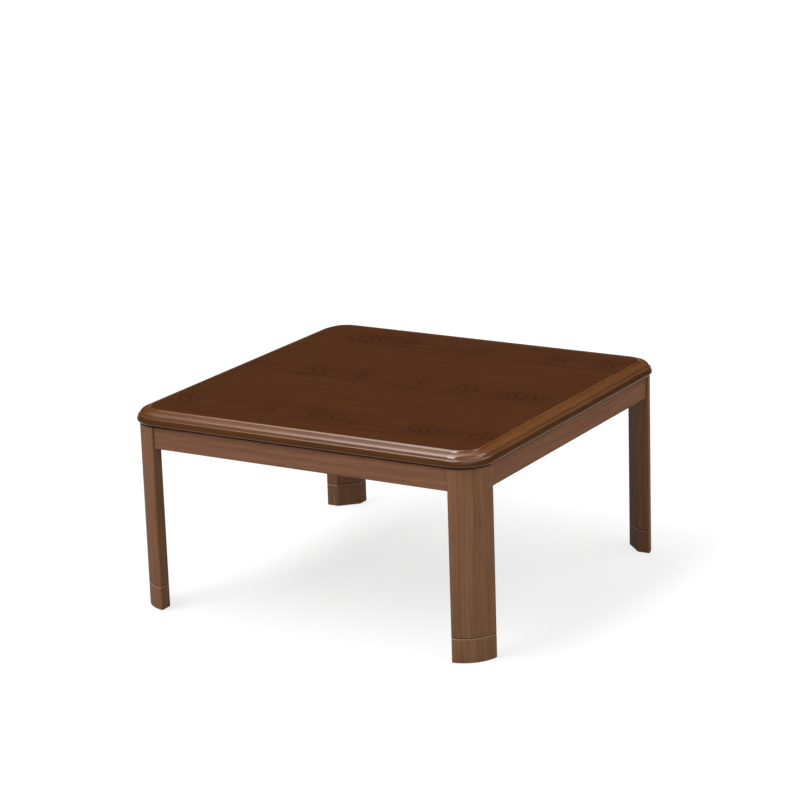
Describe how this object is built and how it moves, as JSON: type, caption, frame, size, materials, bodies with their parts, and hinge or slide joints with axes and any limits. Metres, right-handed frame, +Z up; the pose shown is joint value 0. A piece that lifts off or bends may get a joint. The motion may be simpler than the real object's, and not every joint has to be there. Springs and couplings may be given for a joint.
{
  "type": "kotatsu table",
  "caption": "Low square heated table: loose veneered top with a rounded moulding, bolted corner legs with plug-in extensions, and a fan heater under the frame.",
  "frame": {"origin": "on the floor under the middle of the table", "axes": "+Z up, the front apron faces -Y, +X to the right; the heater's controls face +X"},
  "size_m": [0.75, 0.75, 0.388],
  "materials": {
    "top_veneer": "dark brown open-grain veneer under a clear gloss coat",
    "edge_moulding": "mid-brown stain under a clear gloss coat",
    "core_board": "raw particle board",
    "backing_sheet": "plain brown backing paper, matt",
    "apron_wood": "mid-brown stain, satin lacquer",
    "leg_wood": "mid-brown stain, satin lacquer",
    "dowel_wood": "plain beech",
    "rail_wood": "planed softwood",
    "glide_plastic": "matt",
    "pad_rubber": "soft, translucent white",
    "bracket_steel": "zinc plated",
    "fastener_steel": "zinc plated",
    "housing_steel": "black heat-resistant paint, satin",
    "guard_steel": "black, matt",
    "reflector_aluminium": "bright rolled",
    "holder_ceramic": "white glazed ceramic",
    "quartz": "frosted",
    "element_carbon": "dark carbon",
    "motor_steel": "plated",
    "fan_metal": "rolled",
    "switch_plastic": "moulded",
    "dial_plastic": "moulded, satin",
    "inlet_plastic": "moulded",
    "pin_brass": "nickel-free bright",
    "fuse_metal": "bright",
    "lead_insulation": "heat-proof sleeve, matt"
  },
  "bodies": {
    "frame": {"apron_back": "apron_wood", "apron_front": "apron_wood", "apron_left": "apron_wood", "apron_right": "apron_wood", "bracket_screws": "fastener_steel", "corner_bracket_back_left": "bracket_steel", "corner_bracket_back_right": "bracket_steel", "corner_bracket_front_left": "bracket_steel", "corner_bracket_front_right": "bracket_steel", "fan_motor": "motor_steel", "flange_screws": "fastener_steel", "guard_screws": "fastener_steel", "heater_guard": "guard_steel", "heater_housing": "housing_steel", "heater_leads": "lead_insulation", "heating_element_back": "element_carbon", "heating_element_front": "element_carbon", "inlet_pins": "pin_brass", "leg_back_left": "leg_wood", "leg_back_right": "leg_wood", "leg_bolts": "fastener_steel", "leg_front_left": "leg_wood", "leg_front_right": "leg_wood", "leg_nuts": "fastener_steel", "leg_washers": "fastener_steel", "long_rail_back": "rail_wood", "long_rail_front": "rail_wood", "power_inlet": "inlet_plastic", "quartz_tube_back": "quartz", "quartz_tube_front": "quartz", "rail_screws": "fastener_steel", "reflector": "reflector_aluminium", "short_rail_left": "rail_wood", "short_rail_right": "rail_wood", "terminal_block": "switch_plastic", "thermal_fuse": "fuse_metal", "thermostat": "switch_plastic", "top_pads": "pad_rubber", "tube_holders": "holder_ceramic"},
    "top_board": {"top_core_board": "core_board", "top_veneer": "top_veneer", "top_backing_sheet": "backing_sheet", "edge_moulding": "edge_moulding"},
    "fan": {"fan_impeller": "fan_metal"},
    "dial": {"temperature_dial": "dial_plastic"},
    "foot_front_left": {"leg_extension_front_left": "leg_wood", "extension_dowel_front_left": "dowel_wood", "foot_glide_front_left": "glide_plastic"},
    "foot_front_right": {"leg_extension_front_right": "leg_wood", "extension_dowel_front_right": "dowel_wood", "foot_glide_front_right": "glide_plastic"},
    "foot_back_right": {"leg_extension_back_right": "leg_wood", "extension_dowel_back_right": "dowel_wood", "foot_glide_back_right": "glide_plastic"},
    "foot_back_left": {"leg_extension_back_left": "leg_wood", "extension_dowel_back_left": "dowel_wood", "foot_glide_back_left": "glide_plastic"}
  },
  "joints": [
    {"name": "top_lift", "type": "slide", "parent": "frame", "child": "top_board", "axis": [0, 0, 1], "range_m": [0, 0.1]},
    {"name": "foot_pull_front_left", "type": "slide", "parent": "frame", "child": "foot_front_left", "axis": [0, 0, -1], "range_m": [0, 0.03]},
    {"name": "foot_pull_front_right", "type": "slide", "parent": "frame", "child": "foot_front_right", "axis": [0, 0, -1], "range_m": [0, 0.03]},
    {"name": "foot_pull_back_right", "type": "slide", "parent": "frame", "child": "foot_back_right", "axis": [0, 0, -1], "range_m": [0, 0.03]},
    {"name": "foot_pull_back_left", "type": "slide", "parent": "frame", "child": "foot_back_left", "axis": [0, 0, -1], "range_m": [0, 0.03]},
    {"name": "fan_spin", "type": "hinge", "parent": "frame", "child": "fan", "pos_m": [-0.019, 0, 0.326], "axis": [0, 0, 1], "continuous": true},
    {"name": "dial_turn", "type": "hinge", "parent": "frame", "child": "dial", "pos_m": [0.1467, -0.06, 0.323], "axis": [1, 0, 0], "range_deg": [0, 270]}
  ]
}
